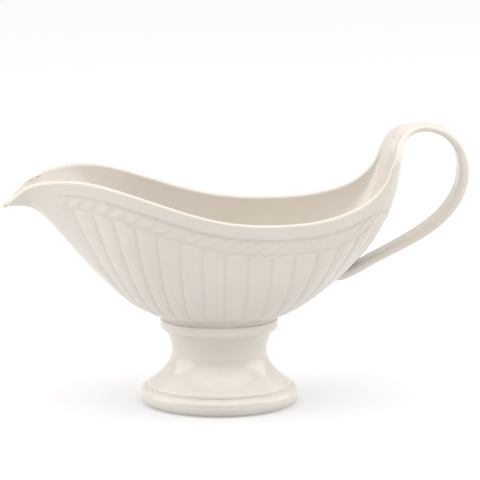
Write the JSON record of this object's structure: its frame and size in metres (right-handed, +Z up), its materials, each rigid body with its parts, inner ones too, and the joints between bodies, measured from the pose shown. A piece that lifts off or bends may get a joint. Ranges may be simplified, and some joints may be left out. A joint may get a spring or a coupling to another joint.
{
  "type": "gravy boat",
  "caption": "Footed gravy boat: boat-shaped bowl with a long pouring spout, a looped strap handle rising from the back rim, and a hollow turned pedestal.",
  "frame": {"origin": "centre of the pedestal's foot ring, on the plane that it rests on", "axes": "+Z up, -X towards the tip of the spout, +X towards the handle, Y across the boat; XZ is the plane of symmetry"},
  "size_m": [0.2425, 0.0868, 0.1451],
  "materials": {
    "porcelain": "clear high-gloss glaze over ivory-white porcelain"
  },
  "bodies": {
    "root": {"bowl": "porcelain", "handle": "porcelain", "pedestal": "porcelain"}
  },
  "joints": []
}
